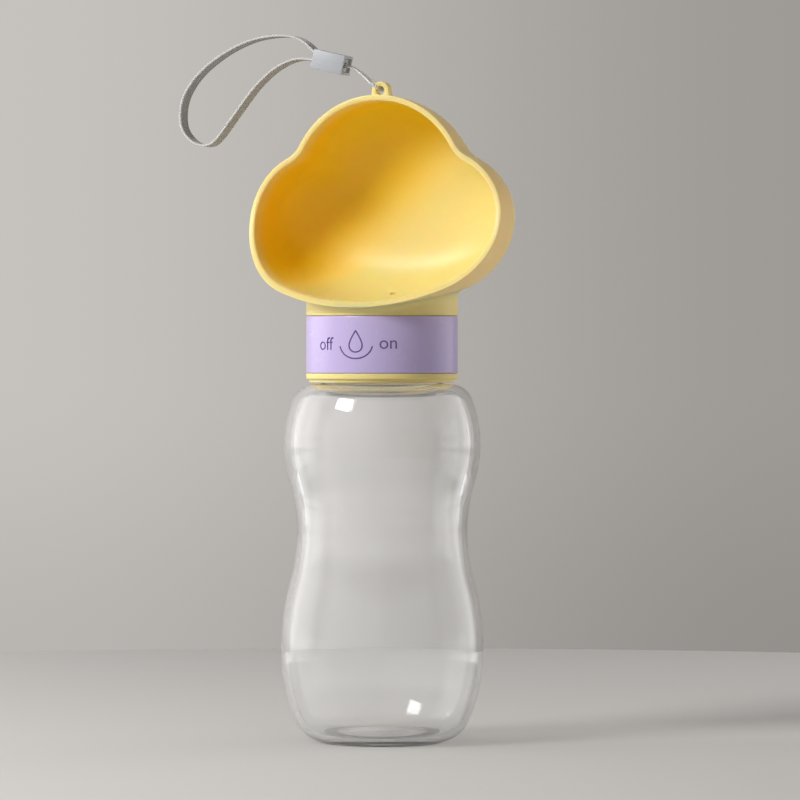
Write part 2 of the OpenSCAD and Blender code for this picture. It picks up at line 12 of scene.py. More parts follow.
import bmesh
import bpy
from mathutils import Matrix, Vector


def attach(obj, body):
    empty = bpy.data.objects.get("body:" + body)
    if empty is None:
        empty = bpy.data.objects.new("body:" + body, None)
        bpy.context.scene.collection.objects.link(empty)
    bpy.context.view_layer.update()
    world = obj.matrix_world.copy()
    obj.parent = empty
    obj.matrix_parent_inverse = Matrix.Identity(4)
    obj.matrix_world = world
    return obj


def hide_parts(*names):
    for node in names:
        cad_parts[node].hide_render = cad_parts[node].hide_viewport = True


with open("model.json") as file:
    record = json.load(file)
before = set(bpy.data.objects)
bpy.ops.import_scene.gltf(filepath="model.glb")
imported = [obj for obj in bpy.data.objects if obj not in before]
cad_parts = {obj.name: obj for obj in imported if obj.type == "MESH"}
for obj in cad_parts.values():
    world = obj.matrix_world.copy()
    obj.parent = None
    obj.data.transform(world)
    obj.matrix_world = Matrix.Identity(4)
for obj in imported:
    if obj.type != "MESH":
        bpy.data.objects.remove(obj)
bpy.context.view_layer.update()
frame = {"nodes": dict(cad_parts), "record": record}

# %% [markdown]
# ## Sizes
# All lengths that the pieces share are written once, in millimetres, with
# the values of the measured model. `mm` turns them into Blender's metres.
# The water port stands `PORT_Y` behind the axis, and round pieces are spun in
# `STEPS` steps.

# %% Shared sizes
mm = 0.001
AZIMUTH = math.radians(20)

BELLY_R, BELLY_Z = 36.8, 32.7
BASE_ARC, BASE_CORNER = 62.0, 13.0
WAIST_R, WAIST_Z, WAIST_ARC = 30.9, 76.0, 62.0
UPPER_R, UPPER_Z = 35.7, 108.0
SHOULDER_Z, SHOULDER_CORNER = 130.0, 8.5
BOTTLE_WALL = 2.6
NECK_R, NECK_BORE, NECK_TOP = 21.4, 19.0, 142.0
HEAD_R = 27.5
CAP_Z, FLANGE_Z, FLANGE_TOP = 130.6, 131.9, 133.9
RING_Z, RING_TOP, RING_BORE = 134.0, 154.6, 25.4
SCOOP_Z, LIP_Z = 154.7, 157.5
EYE_Z = 236.4
PORT_Y = 12
STEPS = 160
print("bottle", 2 * BELLY_R, "mm wide, strap eye", EYE_Z, "mm up")

# %% [markdown]
# ## Camera
# A product picture is taken with a long lens from some way off, which keeps
# upright lines upright. The photograph looks 20 degrees round to the right of
# the scoop's mouth, from just above the ring. The camera is placed by that
# angle and its lens by the object's height in the picture.

# %% Camera at the photograph's angle
RIGHT = Vector((math.cos(AZIMUTH), math.sin(AZIMUTH), 0))
AWAY = Vector((-math.sin(AZIMUTH), math.cos(AZIMUTH), 0))
UP = Vector((0, 0, 1))
DISTANCE, LENS = 1.8, 223.2
AIM_ASIDE, AIM_Z, CAMERA_ABOVE = 6.5, 124.2, 19.4
AIM = RIGHT * AIM_ASIDE * mm + UP * AIM_Z * mm

camera_data = bpy.data.cameras.new("camera")
camera_data.lens = LENS
camera_data.clip_start = 0.05
camera = bpy.data.objects.new("camera", camera_data)
bpy.context.scene.collection.objects.link(camera)
camera.location = AIM - AWAY * DISTANCE + UP * CAMERA_ABOVE * mm
camera.rotation_euler = (AIM - camera.location).to_track_quat("-Z", "Y").to_euler()
bpy.context.scene.camera = camera
bpy.context.scene.view_settings.view_transform = "Standard"
print("lens", camera_data.lens, "at", [round(x, 3) for x in camera.location])

# %% [markdown]
# ## Shader maths in plain Python
# Patterns such as weave or fine grain are sums of waves and noise. `Wire`
# holds one socket and lets Python's own signs add the Math nodes, so a
# formula reads as it would on paper. `Nodes` is one tree of nodes: its `node`
# method makes any node from a type, its settings and its inputs. `Finish` is
# the tree of one material.


# %% Sockets as numbers
class Wire:
    def __init__(self, nodes, socket):
        self.nodes, self.socket = nodes, socket

    def maths(self, operation, *others):
        return self.nodes.maths(operation, self, *others)

    def __add__(self, other):
        return self.maths("ADD", other)

    def __sub__(self, other):
        return self.maths("SUBTRACT", other)

    def __rsub__(self, other):
        return self.nodes.maths("SUBTRACT", other, self)

    def __mul__(self, other):
        return self.maths("MULTIPLY", other)

    def __truediv__(self, other):
        return self.maths("DIVIDE", other)

    def __rtruediv__(self, other):
        return self.nodes.maths("DIVIDE", other, self)

    __radd__, __rmul__ = __add__, __mul__

    def sine(self):
        return self.maths("SINE")

    def size(self):
        return self.maths("ABSOLUTE")

    def root(self):
        return self.maths("SQRT")

    def over(self, limit):
        return self.maths("GREATER_THAN", limit)

    def ramp(self, low, high, start=0.0, end=1.0):
        """Rise smoothly from start to end while the wire goes from low to high."""
        return self.nodes.node(
            "ShaderNodeMapRange",
            {"interpolation_type": "SMOOTHSTEP"},
            {0: self, "From Min": low, "From Max": high, "To Min": start, "To Max": end},
        )


# The places of a Mix node's factor, its pair of colours and their result.
MIX_FACTOR, MIX_ONE, MIX_TWO, MIX_RESULT = 0, 6, 7, 2


class Nodes:
    def __init__(self, tree):
        self.tree = tree

    def node(self, kind, settings=None, inputs=None, out=0):
        made = self.tree.nodes.new(kind)
        for key, value in (settings or {}).items():
            setattr(made, key, value)
        for key, value in (inputs or {}).items():
            self.feed(made.inputs[key], value)
        return None if out is None else Wire(self, made.outputs[out])

    def feed(self, socket, value):
        if isinstance(value, Wire):
            self.tree.links.new(value.socket, socket)
        elif isinstance(value, tuple) and len(value) == 3 and socket.type == "RGBA":
            socket.default_value = (*value, 1)
        else:
            socket.default_value = value

    def maths(self, operation, *values):
        return self.node("ShaderNodeMath", {"operation": operation}, dict(enumerate(values)))

    def here(self):
        return self.node("ShaderNodeTexCoord", out="Object")

    def own_uv(self):
        return self.node("ShaderNodeUVMap", {"uv_map": "along"})

    def ray(self, kind):
        return self.node("ShaderNodeLightPath", out=kind)

    def along(self, vector, axis):
            return self.node(
            "ShaderNodeVectorMath", {"operation": "DOT_PRODUCT"}, {0: vector, 1: axis}, "Value"
        )

    def parts(self, vector):
        made = self.node("ShaderNodeSeparateXYZ", inputs={"Vector": vector}).socket.node
        return [Wire(self, output) for output in made.outputs]

    def noise(self, where, scale, detail=2.0, rough=0.5):
        return self.node(
            "ShaderNodeTexNoise",
            inputs={"Vector": where, "Scale": scale, "Detail": detail, "Roughness": rough},
        )

    def mix(self, factor, one, two):
        colours = {MIX_FACTOR: factor, MIX_ONE: one, MIX_TWO: two}
        return self.node("ShaderNodeMix", {"data_type": "RGBA"}, colours, MIX_RESULT)

    def bump(self, height, depth, strength=1.0):
        return self.node(
            "ShaderNodeBump",
            inputs={"Height": height, "Distance": depth, "Strength": strength},
        )


FINISHES = {}


class Finish(Nodes):
    def __init__(self, name):
        self.material = FINISHES[name] = bpy.data.materials.new(name)
        self.material.use_nodes = True
        super().__init__(self.material.node_tree)
        self.shader = self.tree.nodes["Principled BSDF"]

    def surface(self, **values):
        """Set the shader's sockets by name, with _ for each space."""
        for key, value in values.items():
            self.feed(self.shader.inputs[key.replace("_", " ")], value)

    def instead(self, where, other):
        """Show the shader `other` where the factor is 1, and this one where it is 0."""
        own = Wire(self, self.shader.outputs[0])
        mixed = self.node("ShaderNodeMixShader", inputs={0: where, 1: own, 2: other})
        self.feed(self.tree.nodes["Material Output"].inputs["Surface"], mixed)


def srgb(r, g, b):
    """A colour as a picture editor shows it, turned into light."""
    return tuple(
        c / 12.92 if c <= 0.04045 else ((c + 0.055) / 1.055) ** 2.4
        for c in (r / 255, g / 255, b / 255)
    )


# %% [markdown]
# ## Floor, room and lamps
# The picture has a warm grey table and a wall of the same grey that fades
# from left to right. A round floor gives the table's far edge, and the room
# behind it is the world's colour, seen by the camera, by gloss and through
# the clear wall.
#
# A clear thing shows what stands round it, so white cards beside it and in
# front draw the pale glow inside its edges. They are patches of the floor and
# the world that shine only for a ray that has been mirrored once already, so
# the camera never sees them straight. A hard edge would show as a line, so
# each fades in over a range.

# %% Floor
FLOOR_R = 0.56
WHITE = (1, 1, 1)
CARD_LIGHT = 1.15
SIDE_CARD, FRONT_CARD = (0.62, 0.76), (-0.1, 0.35)
SIDE_CARD_FROM, FRONT_CARD_FROM = (0.28, 0.34), (0.07, 0.1)

bpy.ops.mesh.primitive_circle_add(vertices=STEPS, radius=FLOOR_R, fill_type="NGON")
floor = bpy.context.object
floor.name = "floor"
table = Finish("table_grey")
here = table.here()
grain = table.noise(here, 900)
far = table.node("ShaderNodeVectorMath", {"operation": "LENGTH"}, {0: here}, "Value")
sideways = table.along(here, RIGHT).size() / far
forward = table.along(here, -AWAY) / far
beside = sideways.ramp(*SIDE_CARD) * far.ramp(*SIDE_CARD_FROM)
before = forward.ramp(*FRONT_CARD) * far.ramp(*FRONT_CARD_FROM)
mirrored = table.ray("Glossy Depth").over(0.5)
table.surface(
    Base_Color=table.mix(grain, srgb(214, 211, 207), srgb(217, 214, 210)),
    Roughness=0.75,
    Specular_IOR_Level=0.25,
)
table.instead(
    mirrored * beside.maths("MAXIMUM", before),
    table.node("ShaderNodeEmission", inputs={"Color": WHITE, "Strength": CARD_LIGHT}),
)
floor.data.materials.append(table.material)
print("floor", 2 * FLOOR_R, "m across")

# %% [markdown]
# The world is a shader of the ray's own direction: across the picture, ahead
# and up, each from -1 to 1. The side cards are dimmer just below the horizon.

# %% Room
world = bpy.data.worlds.new("room")
bpy.context.scene.world = world
world.use_nodes = True
world.node_tree.nodes.clear()
room = Nodes(world.node_tree)
direction = room.node("ShaderNodeTexCoord", out="Generated")


def glow(colour, strength):
    return room.node("ShaderNodeBackground", inputs={"Color": colour, "Strength": strength})


across, ahead, rise = (room.along(direction, axis) for axis in (RIGHT, AWAY, UP))
wall = room.mix(across.ramp(-0.085, 0.085), srgb(198, 194, 190), srgb(158, 154, 149))
seen = glow(wall, rise.ramp(-0.065, -0.005, 0.86, 1.0))
left_card = (0 - across).ramp(0.64, 0.78) * ahead.ramp(-0.2, 0.15) * CARD_LIGHT
right_card = across.ramp(*SIDE_CARD) * ahead.ramp(-0.4, -0.1) * 0.9
front_card = (0 - ahead).ramp(0.0, 0.4) * 0.62
standing, lying = rise.ramp(-0.05, -0.02), (0 - rise).ramp(0.07, 0.1)
level = (standing + lying) * 0.4 + 0.6
mirrored = room.ray("Glossy Depth").over(0.5)
cards = glow(WHITE, ((left_card + right_card) * level + front_card) * mirrored)
both = room.node("ShaderNodeAddShader", inputs={0: seen, 1: cards})
straight = room.ray("Is Camera Ray").maths("MAXIMUM", room.ray("Is Glossy Ray"))
straight = straight.maths("MAXIMUM", room.ray("Is Transmission Ray"))
air = glow(srgb(236, 234, 232), 0.06)
sky = room.node("ShaderNodeMixShader", inputs={0: straight, 1: air, 2: both})
room.node("ShaderNodeOutputWorld", inputs={"Surface": sky}, out=None)
print("nodes in the room:", len(room.tree.nodes))

# %% [markdown]
# One softbox high on the left is the main light, and the scoop's own rim
# then shades the left half of its bowl. Five weaker lamps, which no surface
# mirrors, stand in for the light that a real room sends back.


# %% Lamps
LAMPS_AIM = 0.15


def softbox(name, round_it, up, away, width, height, light, mirrored=False):
    """A lamp at two angles from the camera's line; light 1 shows white as white."""
    data = bpy.data.lights.new(name, "AREA")
    data.shape, data.size, data.size_y = "RECTANGLE", width, height
    data.energy = light * (math.pi * away) ** 2
    lamp = bpy.data.objects.new(name, data)
    bpy.context.scene.collection.objects.link(lamp)
    turn, lift = math.radians(round_it), math.radians(up)
    level_ray = RIGHT * math.sin(turn) - AWAY * math.cos(turn)
    ray = level_ray * math.cos(lift) + UP * math.sin(lift)
    lamp.location = UP * LAMPS_AIM + ray * away
    lamp.rotation_euler = (-ray).to_track_quat("-Z", "Y").to_euler()
    lamp.visible_glossy = lamp.visible_transmission = mirrored


softbox("key", -53, 33, 1.1, 0.36, 0.28, 0.74, mirrored=True)
softbox("front_fill", 2, 10, 1.1, 0.6, 0.5, 0.08)
softbox("left_fill", -97, 8, 1.0, 0.5, 0.6, 0.42)
softbox("left_back", -135, 6, 1.0, 0.5, 0.5, 0.22)
softbox("ceiling", -20, 80, 1.3, 0.9, 0.9, 0.1)
softbox("back_fill", 118, 3, 1.0, 0.6, 0.5, 0.45)

# %% [markdown]
# ## Small helpers for modelling
# The operators act on whatever is selected, so each helper first clears the
# selection. `revolve` is how every round piece here is made: one point is
# pulled along the outline, then spun round the axis. A spun mesh can come out
# with its faces inwards, so its doubles are merged and its faces turned.


# %% Selection, placing and turning
def none_chosen():
    bpy.ops.object.select_all(action="DESELECT")


def only(*objects):
    if bpy.context.object and bpy.context.object.mode != "OBJECT":
        bpy.ops.object.mode_set(mode="OBJECT")
    none_chosen()
    for o in objects:
        o.select_set(True)
    bpy.context.view_layer.objects.active = objects[0]


def settle(piece, name):
    """Put the piece's place into its mesh and give it its name."""
    only(piece)
    bpy.ops.object.transform_apply(location=True, rotation=True, scale=True)
    piece.name = piece.data.name = name
    return piece


def tidy_mesh(piece, gap=1e-6):
    only(piece)
    bpy.ops.object.mode_set(mode="EDIT")
    bpy.ops.mesh.select_all(action="SELECT")
    bpy.ops.mesh.remove_doubles(threshold=gap)
    bpy.ops.mesh.normals_make_consistent(inside=False)
    bpy.ops.object.mode_set(mode="OBJECT")
    return piece


def soften(piece, degrees=35):
    only(piece)
    bpy.ops.object.shade_smooth_by_angle(angle=math.radians(degrees))
    return piece


def bevelled(piece, width, segments, degrees):
    edge = piece.modifiers.new("edge", "BEVEL")
    edge.width, edge.segments = width * mm, segments
    edge.limit_method, edge.angle_limit = "ANGLE", math.radians(degrees)
    only(piece)
    bpy.ops.object.modifier_apply(modifier="edge")
    return piece


def from_faces(name, bm):
    """A new piece from a bmesh, with its faces outwards."""
    bmesh.ops.recalc_face_normals(bm, faces=bm.faces)
    mesh = bpy.data.meshes.new(name)
    bm.to_mesh(mesh)
    bm.free()
    piece = bpy.data.objects.new(name, mesh)
    bpy.context.scene.collection.objects.link(piece)
    return piece


def tell(piece):
    print(piece.name, "has", len(piece.data.vertices), "points")


def block(name, middle, size, turn=0.0):
    """A box by its middle and its three lengths in mm, turned about z."""
    none_chosen()
    bpy.ops.mesh.primitive_cube_add(
        size=1,
        location=tuple(v * mm for v in middle),
        rotation=(0, 0, turn),
        scale=tuple(v * mm for v in size),
    )
    return settle(bpy.context.object, name)


def arc(centre, radius, start, stop, count):
    """Points on an arc in the (r, z) plane, both ends included, in mm."""
    return [
        (
            centre[0] + radius * math.cos(start + (stop - start) * i / count),
            centre[1] + radius * math.sin(start + (stop - start) * i / count),
        )
        for i in range(count + 1)
    ]


def revolve(name, outline, steps=STEPS):
    """Pull one point along a closed outline of (radius, height) pairs and spin it."""
    points = [*outline, outline[0]]
    start = Vector((points[0][0] * mm, 0, points[0][1] * mm))
    none_chosen()
    bpy.ops.mesh.primitive_plane_add(size=0.001, location=start)
    piece = bpy.context.object
    settle(piece, name)
    bpy.ops.object.mode_set(mode="EDIT")
    bpy.ops.mesh.select_all(action="SELECT")
    bpy.ops.mesh.merge(type="CENTER")
    for (r0, z0), (r1, z1) in zip(points, points[1:]):
        bpy.ops.mesh.extrude_vertices_move(
            TRANSFORM_OT_translate={"value": ((r1 - r0) * mm, 0, (z1 - z0) * mm)}
        )
    bpy.ops.mesh.select_all(action="SELECT")
    bpy.ops.mesh.spin(steps=steps, angle=math.tau, center=(0, 0, 0), axis=(0, 0, 1))
    bpy.ops.object.mode_set(mode="OBJECT")
    tidy_mesh(piece, 2e-6)
    return soften(piece)


def cut(piece, *tools, how="DIFFERENCE", own_crossings=False):
    """Take each tool away from a piece, or join it on; the tool is used up."""
    for tool in tools:
        only(piece)
        step = piece.modifiers.new("cut", "BOOLEAN")
        step.operation, step.solver, step.object = how, "EXACT", tool
        step.use_self = own_crossings
        bpy.ops.object.modifier_apply(modifier=step.name)
        bpy.data.objects.remove(tool)
    return piece


def joined(*parts):
    only(*parts)
    bpy.ops.object.join()
    return parts[0]


def tube(bore, radius, low, high):
    return [(bore, low), (radius, low), (radius, high), (bore, high)]


def rounded_outline(corners, radius, count):
    """Round every corner of a closed (r, z) outline by up to radius, in count steps."""
    out = []
    n = len(corners)
    for i, p in enumerate(corners):
        here = Vector(p)
        back, ahead = Vector(corners[i - 1]) - here, Vector(corners[(i + 1) % n]) - here
        reach = min(radius, back.length * 0.45, ahead.length * 0.45)
        one, two = here + back.normalized() * reach, here + ahead.normalized() * reach
        for k in range(count + 1):
            t = k / count
            point = one * (1 - t) ** 2 + here * 2 * t * (1 - t) + two * t * t
            out.append((point.x, point.y))
    return out


# %% [markdown]
# ## Strap and cord
# A woven band makes the wrist loop. Its two ends go into a small grey clamp,
# and a thin cord leaves the clamp's other end, passes through the eye on the
# scoop and comes back. Both follow the same points as the measured model, so
# they are made first: their place decides how wide the picture is.


# %% Routes of the strap
def between(p, q, r, s, t):
    """A point on the smooth curve from q to r, with p and s beyond them."""
    return 0.5 * (
        2 * q
        + (r - p) * t
        + (2 * p - 5 * q + 4 * r - s) * t * t
        + (3 * q - p - 3 * r + s) * t**3
    )


def smooth_run(points, per):
    """A curve through all the points, with `per` steps from each to the next."""
    points = [Vector(p) for p in points]
    last = len(points) - 1
    out = []
    for i in range(last):
        p, q, r, s = (points[min(max(i + k, 0), last)] for k in (-1, 0, 1, 2))
        out += [between(p, q, r, s, k / per) for k in range(per)]
    return out + [points[-1]]


BAND = [
    (-21.5, 12.7), (-25.2, 14.5), (-29.3, 18.1), (-34.5, 20.2), (-42, 20.5),
    (-51.5, 18.7), (-62, 13.8), (-71.5, 6.4), (-77, -2.2), (-77.6, -11.6),
    (-73.5, -17.4), (-68, -19), (-63.5, -16.6), (-56, -7.2), (-48.5, 2),
    (-41, 8.4), (-33.5, 11.7), (-27, 11.7), (-21.5, 10.2),
]
CORD = [
    (-16.9, 0.8, 10), (-13.4, 0.8, 9.2), (-9.6, 1.3, 7.4), (-5.8, 2.2, 4.6),
    (-2.6, 2.85, 2.2), (-0.9, 2.6, 0.8), (-0.5, 1.4, 0.4), (-0.5, 0, 0.35),
]
band_run = smooth_run([(x * mm, 0, (EYE_Z + z) * mm) for x, z in BAND], 8)
half_cord = smooth_run([(x * mm, y * mm, (EYE_Z + z) * mm) for x, y, z in CORD], 8)
cord_run = half_cord + [Vector((p.x, -p.y, p.z)) for p in reversed(half_cord[:-1])]


def run_length(run):
    return sum((b - a).length for a, b in zip(run, run[1:]))


for name, run in (("band", band_run), ("cord", cord_run)):
    print(name, "is", round(run_length(run) / mm, 1), "mm long")

# %% [markdown]
# A flat band is a short cross-section carried along the route. The section
# is a rounded oblong with a thicker selvage at each edge, as woven tape has.
# Each corner of it gets a UV: along the band in millimetres, and across it,
# so that the weave can follow the bends.


# %% Carry a section along a route
def carried(name, run, section, side):
    """Sweep closed section [(across, out)] along run; side(i, ahead) gives across."""
    bm = bmesh.new()
    uv = bm.loops.layers.uv.new("along")
    rings, far, count = [], [0.0], len(section)
    for a, b in zip(run, run[1:]):
        far.append(far[-1] + (b - a).length / mm)
    for i, p in enumerate(run):
        ahead = (run[min(i + 1, len(run) - 1)] - run[max(i - 1, 0)]).normalized()
        across = side(i, ahead)
        out = ahead.cross(across).normalized()
        rings.append([bm.verts.new(p + across * u + out * v) for u, v in section])
    for i in range(len(run) - 1):
        for k in range(count):
            n = (k + 1) % count
            face = bm.faces.new((rings[i][k], rings[i][n], rings[i + 1][n], rings[i + 1][k]))
            for loop, at, edge in zip(face.loops, (i, i, i + 1, i + 1), (k, k + 1, k + 1, k)):
                loop[uv].uv = (far[at], edge / count)
    bm.faces.new(reversed(rings[0]))
    bm.faces.new(rings[-1])
    return soften(from_faces(name, bm), 40)


BAND_WIDE, BAND_THICK, SELVAGE_THICK, SELVAGE_WIDE = 7.0, 0.62, 0.8, 0.55


def band_section():
    half, t, s = BAND_WIDE / 2 * mm, BAND_THICK / 2 * mm, SELVAGE_THICK / 2 * mm
    edge = SELVAGE_WIDE * mm
    top = [(-half, s * 0.5), (-half + 0.18 * mm, s), (-half + edge, s), (-half + edge * 1.5, t)]
    flat = [(-half * 0.6 + half * 1.2 * k / 6, t) for k in range(7)]
    upper = top + flat + [(-u, v) for u, v in reversed(top)]
    return upper + [(u, -v) for u, v in reversed(upper)]


webbing = carried("woven_band", band_run, band_section(), lambda i, ahead: Vector((0, 1, 0)))
tell(webbing)
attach(webbing, "strap")
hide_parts("strap_webbing")
run_length(band_run)

# %% [markdown]
# The thin cord is two strands twisted on each other. A section with two soft
# lobes that turns as it goes gives the twist its real outline.

# %% Twisted cord
CORD_R, LOBE = 0.55, 0.06
POINTS_APART, TWIST = 0.16, 1.4
ASIDE = Vector((0.6, 0, -0.8))


def twisted_side(i, ahead):
    lead = ahead.cross(ASIDE).normalized()
    other = ahead.cross(lead)
    turn = math.tau * i * POINTS_APART / TWIST
    return lead * math.cos(turn) + other * math.sin(turn)


lobes = []
for k in range(12):
    a = math.tau * k / 12
    r = CORD_R * mm * (1 - LOBE + LOBE * math.cos(2 * a))
    lobes.append((r * math.cos(a), r * math.sin(a)))
cord = carried("thin_cord", smooth_run(cord_run, 3), lobes, twisted_side)
tell(cord)
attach(cord, "strap")
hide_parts("strap_cord")
run_length(cord_run)

# %% [markdown]
# ## Bottle
# The wall is one outline of six arcs that meet without a corner, set off
# inwards by the wall's thickness for the inside. A clear solid needs both
# surfaces: the pale double line down each side of the photograph is the
# inner wall seen through the outer one.


# %% Outline of the bottle
def bulge(r, z):
    """The arc of a bulge that runs into the waist's arc, and the angle where it does."""
    dr, dz = r - WAIST_R, abs(WAIST_Z - z)
    both = (dz**2 + dr**2) / (2 * dr)
    return both - WAIST_ARC, math.atan2(dz, both - dr)


def corner(r, z, wide, tight, low):
    """The middle of a tight arc that runs into a wide one, and the angle where it does."""
    dz = abs(z - low)
    dx = math.sqrt((wide - tight) ** 2 - dz**2)
    return (r - wide + dx, low), math.atan2(dz, dx)


def body_outline(t):
    """The wall's outline set off inwards by t, from the base up to the shoulder."""
    quarter, corner_z = math.pi / 2, SHOULDER_Z - SHOULDER_CORNER
    belly_arc, a_belly = bulge(BELLY_R, BELLY_Z)
    upper_arc, a_upper = bulge(UPPER_R, UPPER_Z)
    base, a_base = corner(BELLY_R, BELLY_Z, BASE_ARC, BASE_CORNER, BASE_CORNER)
    shoulder, a_neck = corner(UPPER_R, UPPER_Z, upper_arc, SHOULDER_CORNER, corner_z)
    line = arc(base, BASE_CORNER - t, -quarter, -a_base, 12)
    line += arc((BELLY_R - BASE_ARC, BELLY_Z), BASE_ARC - t, -a_base, 0, 8)[1:]
    line += arc((BELLY_R - belly_arc, BELLY_Z), belly_arc - t, 0, a_belly, 12)[1:]
    waist = (WAIST_R + WAIST_ARC, WAIST_Z)
    line += arc(waist, WAIST_ARC + t, math.pi + a_belly, math.pi - a_upper, 22)[1:]
    line += arc((UPPER_R - upper_arc, UPPER_Z), upper_arc - t, -a_upper, a_neck, 16)[1:]
    line += arc(shoulder, SHOULDER_CORNER - t, a_neck, quarter, 12)[1:]
    return line


def punt_outline(t):
    """The hollow under the base, as a shallow part of a ball."""
    depth, reach = 2.4, 16.0
    ball = (reach**2 + depth**2) / (2 * depth)
    wide = math.asin(min(1, reach / (ball + t)))
    quarter = math.pi / 2
    return arc((0, depth - ball), ball + t, quarter - 0.004, quarter - wide, 9)


# %% Spin the bottle
DRAWN_IN, DRAW_FROM, DRAW_TO = 1.4, 66, 92


def inner_wall(r, z):
    """Draw the inner wall in towards the top, as a blown bottle's is."""
    t = min(1, max(0, (z - DRAW_FROM) / (DRAW_TO - DRAW_FROM)))
    return r - DRAWN_IN * t * t * (3 - 2 * t), z


outside = body_outline(0)
inside = [inner_wall(r, z) for r, z in body_outline(BOTTLE_WALL)]
outer_neck = [
    (NECK_R + 1.6, SHOULDER_Z + 0.05),
    (NECK_R + 0.8, SHOULDER_Z + 0.3),
    (NECK_R + 0.8, SHOULDER_Z + 1.2),
    (NECK_R, SHOULDER_Z + 1.6),
    (NECK_R, NECK_TOP - 0.4),
    (NECK_R - 0.4, NECK_TOP),
]
inner_neck = [
    (NECK_BORE + 0.4, NECK_TOP),
    (NECK_BORE, NECK_TOP - 0.4),
    (NECK_BORE, SHOULDER_Z + 1.2),
    (NECK_BORE + 0.25, SHOULDER_Z - 0.6),
    (NECK_BORE + 1.1, SHOULDER_Z - 1.9),
    (NECK_BORE + 2.4, SHOULDER_Z - BOTTLE_WALL),
]
under = punt_outline(0)
floor_inside = [p for p in punt_outline(BOTTLE_WALL) if p[1] > BOTTLE_WALL + 0.25]
foot = [(18.0, 0.02), (19.2, 0.0)]
outline = (
    under[:-1]
    + foot
    + outside[1:]
    + outer_neck
    + inner_neck
    + list(reversed(inside))[:-1]
    + list(reversed(floor_inside))
)
bottle = revolve("clear_bottle", outline, 192)

# %% [markdown]
# The cap turns on a two-start thread. Each start is a low ridge carried round
# the neck while it climbs, 8 mm for a full turn, and it tapers to nothing at
# both ends so that the cap finds its way on.


# %% Threads
LEAD, TURNS, TAPER_STEPS = 8.0, 0.9, 10
RIDGE_OUT, RIDGE_HALF, ROOT = 1.15, 0.75, 0.25


def ridge(name, radius, reach, phase, z_low):
    """A ridge that stands out by reach, or in where reach is below 0; all in mm."""
    run, size, steps = [], [], int(96 * TURNS)
    for i in range(steps + 1):
        a = math.tau * TURNS * i / steps
        z = z_low + LEAD * TURNS * i / steps
        run.append(Vector((math.cos(a + phase), math.sin(a + phase), z)))
        size.append(min(1, i / TAPER_STEPS, (steps - i) / TAPER_STEPS))
    bm = bmesh.new()
    rings = []
    root, half, crest = -math.copysign(ROOT, reach), RIDGE_HALF, RIDGE_HALF * 0.45
    for p, s in zip(run, size):
        edge = [(root, -half), (reach * s, -crest), (reach * s, crest), (root, half)]
        places = [(p.x * (radius + u), p.y * (radius + u), p.z + v) for u, v in edge]
        rings.append([bm.verts.new([c * mm for c in place]) for place in places])
    for one, two in zip(rings, rings[1:]):
        for k in range(4):
            n = (k + 1) % 4
            bm.faces.new((one[k], one[n], two[n], two[k]))
    bm.faces.new(rings[0])
    bm.faces.new(rings[-1])
    return soften(from_faces(name, bm))


NECK_THREAD_Z, CAP_THREAD_Z = 133.4, 132.4
threads = [ridge("thread", NECK_R, RIDGE_OUT, math.pi * k, NECK_THREAD_Z) for k in range(2)]
bottle = joined(bottle, *threads)
tell(bottle)
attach(bottle, "bottle")
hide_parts("bottle")

# %% [markdown]
# ## Screw cap
# A yellow cap shuts the neck. Only its flange shows, with a narrower step
# under it that stays in shadow. Above the flange a plain barrel carries the
# turning ring, with a groove for its O-ring. A deck with the centre screw's
# pocket and the water port closes the top.

# %% Cap
CAP_BORE, STEP_R, BARREL_R = 23.0, 26.5, 25.32
GROOVE_R, GROOVE_Z, GROOVE_TOP = 23.87, 138.03, 139.57
DECK_Z, DECK_TOP = 143.6, 146.0
POCKET_R, POCKET_Z, SCREW_R = 4.1, 144.6, 1.6
SEAT_R, SEAT_Z, PORT_R = 3.9, 144.85, 2.5
cap_line = rounded_outline(
    [
        (CAP_BORE, CAP_Z), (STEP_R, CAP_Z), (STEP_R, FLANGE_Z), (HEAD_R, FLANGE_Z),
        (HEAD_R, FLANGE_TOP), (BARREL_R, FLANGE_TOP), (BARREL_R, GROOVE_Z),
        (GROOVE_R, GROOVE_Z), (GROOVE_R, GROOVE_TOP), (BARREL_R, GROOVE_TOP),
        (BARREL_R, DECK_TOP), (POCKET_R, DECK_TOP), (POCKET_R, POCKET_Z),
        (SCREW_R, POCKET_Z), (SCREW_R, DECK_Z), (CAP_BORE, DECK_Z),
    ],
    0.28,
    3,
)
cap = revolve("yellow_cap", cap_line)


def port_tool(radius, low, high, sides=48):
    none_chosen()
    bpy.ops.mesh.primitive_cylinder_add(
        vertices=sides,
        radius=radius * mm,
        depth=(high - low) * mm,
        location=(0, PORT_Y * mm, (low + high) / 2 * mm),
    )
    return settle(bpy.context.object, "tool")


cut(cap, port_tool(SEAT_R, SEAT_Z, 147), port_tool(PORT_R, 143, 147))
starts = [
    ridge("start", CAP_BORE, -RIDGE_OUT, math.pi * (k + 0.5), CAP_THREAD_Z) for k in range(2)
]
cap = joined(soften(cap), *starts)
tell(cap)
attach(cap, "head")
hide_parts("screw_cap")

# %% [markdown]
# ## Switch ring
# The ring is a short tube with softly rounded rims. The words and the drop
# between them are sunk into it. Letters are flat, so each is given depth,
# wrapped round the ring by turning its width into an angle, and cut out.
# Four keys inside the ring turn the valve.

# %% Ring body
ring_line = rounded_outline(tube(RING_BORE, HEAD_R, RING_Z, RING_TOP), 0.45, 5)
ring = revolve("purple_ring", ring_line, 256)


# %% Sunk marks
def wrap(piece, angle):
    """Bend a flat mark (x across, z up, y depth) round the ring."""
    for v in piece.data.vertices:
        a = math.radians(angle) + v.co.x / (HEAD_R * mm)
        r = HEAD_R * mm - v.co.y
        v.co = Vector((r * math.cos(a), r * math.sin(a), v.co.z))
    return piece


